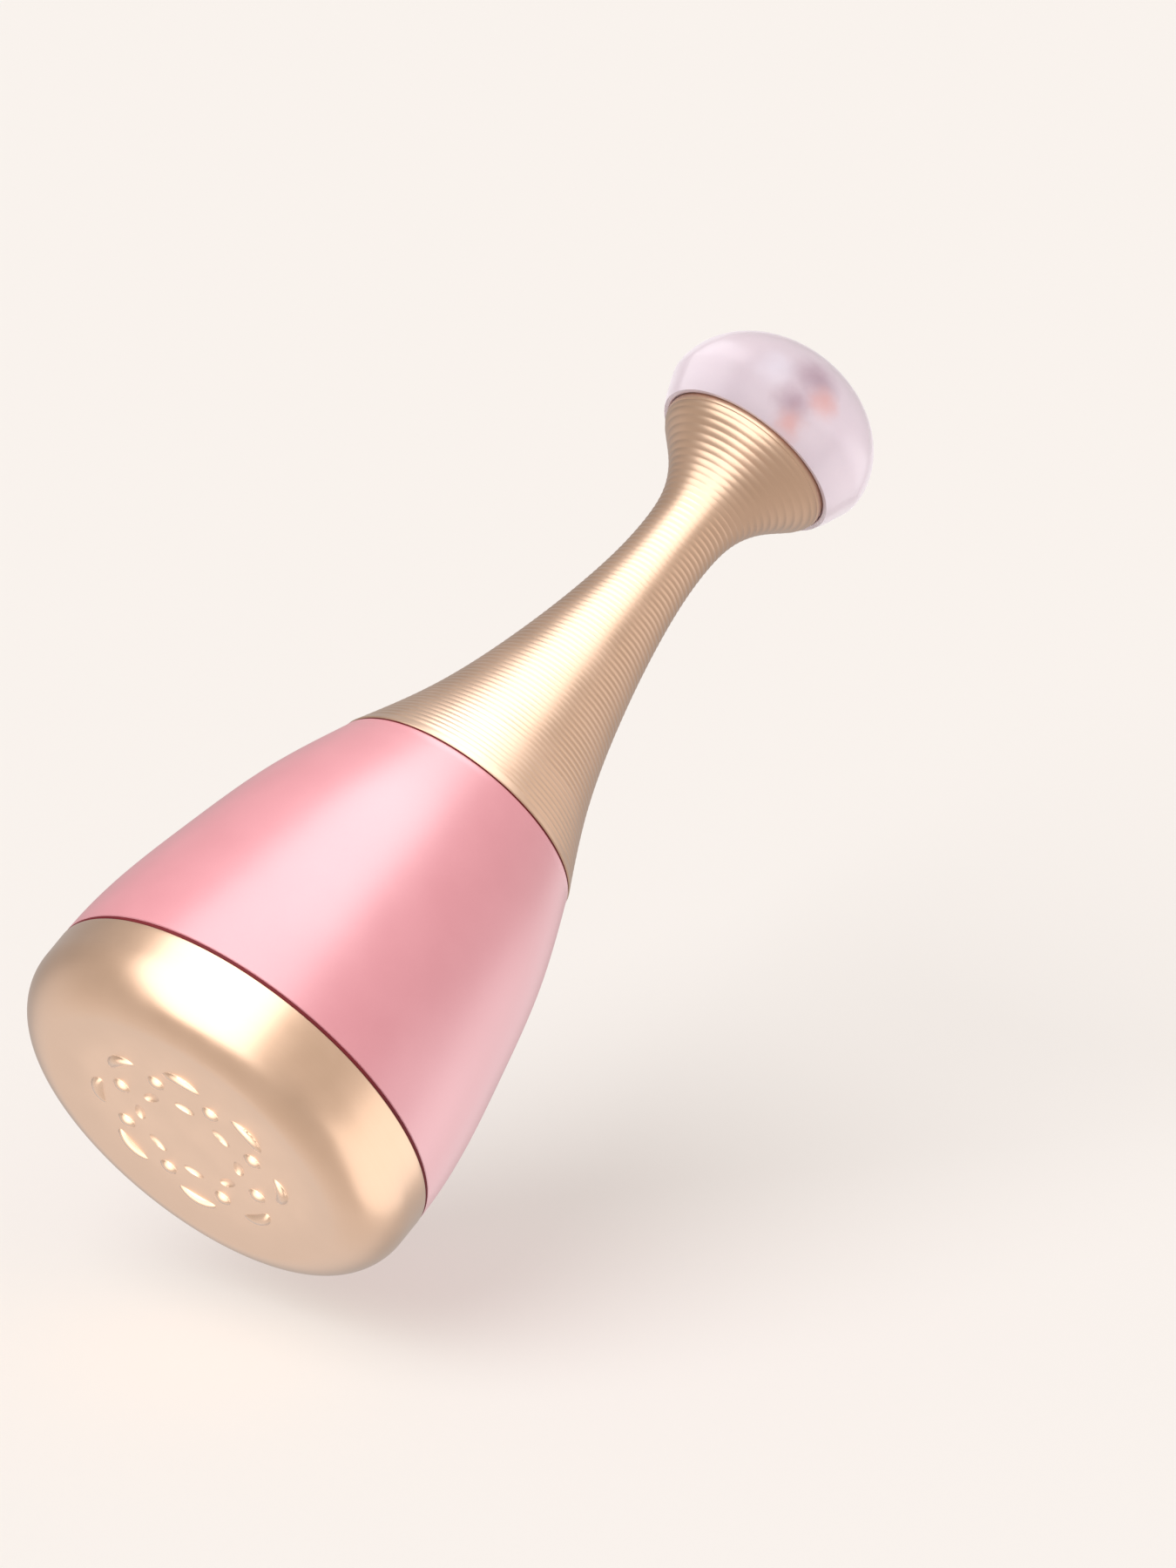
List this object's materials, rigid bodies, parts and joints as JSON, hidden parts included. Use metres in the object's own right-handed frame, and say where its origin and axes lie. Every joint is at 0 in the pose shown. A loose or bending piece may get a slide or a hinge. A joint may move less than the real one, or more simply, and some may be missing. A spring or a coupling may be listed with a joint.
{
  "type": "facial massager",
  "caption": "Hand-held facial massager: gold metal massage head, pink tapered body, ringed gold waisted neck and a translucent lilac end knob that is its push button.",
  "frame": {"origin": "on the axis, at the tips of the raised points of the massage face, which the object stands on", "axes": "+Z along the axis from the massage face to the knob; +Y towards the charging port in the back of the shell; +X completes the right-handed set"},
  "size_m": [0.0524, 0.0524, 0.1267],
  "materials": {
    "satin_gold": "satin anodised champagne gold",
    "dark_red_rubber": "moulded dark red elastomer",
    "white_plastic": "moulded, matt",
    "black_rubber": "moulded rubber ring",
    "amber_film": "amber polyimide film",
    "black_plastic": "moulded, matt",
    "white_wire": "insulated wire",
    "red_wire": "insulated wire",
    "steel": "plain steel",
    "dark_metal": "sintered heavy metal",
    "copper": "enamelled copper winding",
    "brass": "turned brass",
    "grey_silicone": "soft moulded silicone",
    "grey_foam": "foam tape",
    "silver_pouch": "laminated foil pouch",
    "green_board": "solder-masked fibreglass",
    "pink_silicone": "soft silicone, shell colour",
    "pink_pearl": "pearl pink satin lacquer",
    "led_lens": "clear epoxy lens",
    "clear_plastic": "clear moulded plastic",
    "milky_plastic": "milky light diffuser",
    "lilac_translucent": "translucent pearly lilac"
  },
  "bodies": {
    "handset": {"massage_head": "satin_gold", "head_gasket": "dark_red_rubber", "head_carrier": "white_plastic", "carrier_o_ring": "black_rubber", "heater_film": "amber_film", "thermistor": "black_plastic", "head_leads": "white_wire", "chassis": "white_plastic", "chassis_screws": "steel", "motor_can": "steel", "motor_bush": "brass", "motor_end_cap": "black_plastic", "motor_magnets": "dark_metal", "motor_boot": "grey_silicone", "motor_leads": "white_wire", "battery_cell": "silver_pouch", "battery_pad": "grey_foam", "battery_connector": "white_plastic", "battery_leads": "red_wire", "main_board": "green_board", "board_screws": "steel", "board_components": "black_plastic", "charging_socket": "steel", "body_shell": "pink_pearl", "neck_seal": "dark_red_rubber", "neck_adapter": "white_plastic", "adapter_o_ring": "black_rubber", "neck_nut": "brass", "neck_core_tube": "steel", "neck_sleeve": "satin_gold", "button_cable": "white_wire", "button_cup": "white_plastic", "button_board": "green_board", "switch_body": "black_plastic", "indicator_leds": "led_lens", "stem_guide": "clear_plastic", "stem_o_ring": "black_rubber", "return_spring": "steel"},
    "knob": {"switch_plunger": "white_plastic", "stem_clip": "steel", "knob_stem": "steel", "knob_core": "milky_plastic", "knob": "lilac_translucent"},
    "rotor": {"motor_shaft": "steel", "motor_armature": "copper", "eccentric_weight": "dark_metal"},
    "port_plug": {"port_plug": "pink_silicone"}
  },
  "joints": [
    {"name": "knob_press", "type": "slide", "parent": "handset", "child": "knob", "axis": [0, 0, -1], "range_m": [0, 0.0005], "stiffness_N_per_m": 1000, "springref_m": -0.001, "deforming": ["return_spring"]},
    {"name": "motor_spin", "type": "hinge", "parent": "handset", "child": "rotor", "pos_m": [0, 0, 0.02], "axis": [0, 0, 1], "continuous": true},
    {"name": "plug_pull", "type": "slide", "parent": "handset", "child": "port_plug", "axis": [0, 1, 0], "range_m": [0, 0.008]}
  ]
}
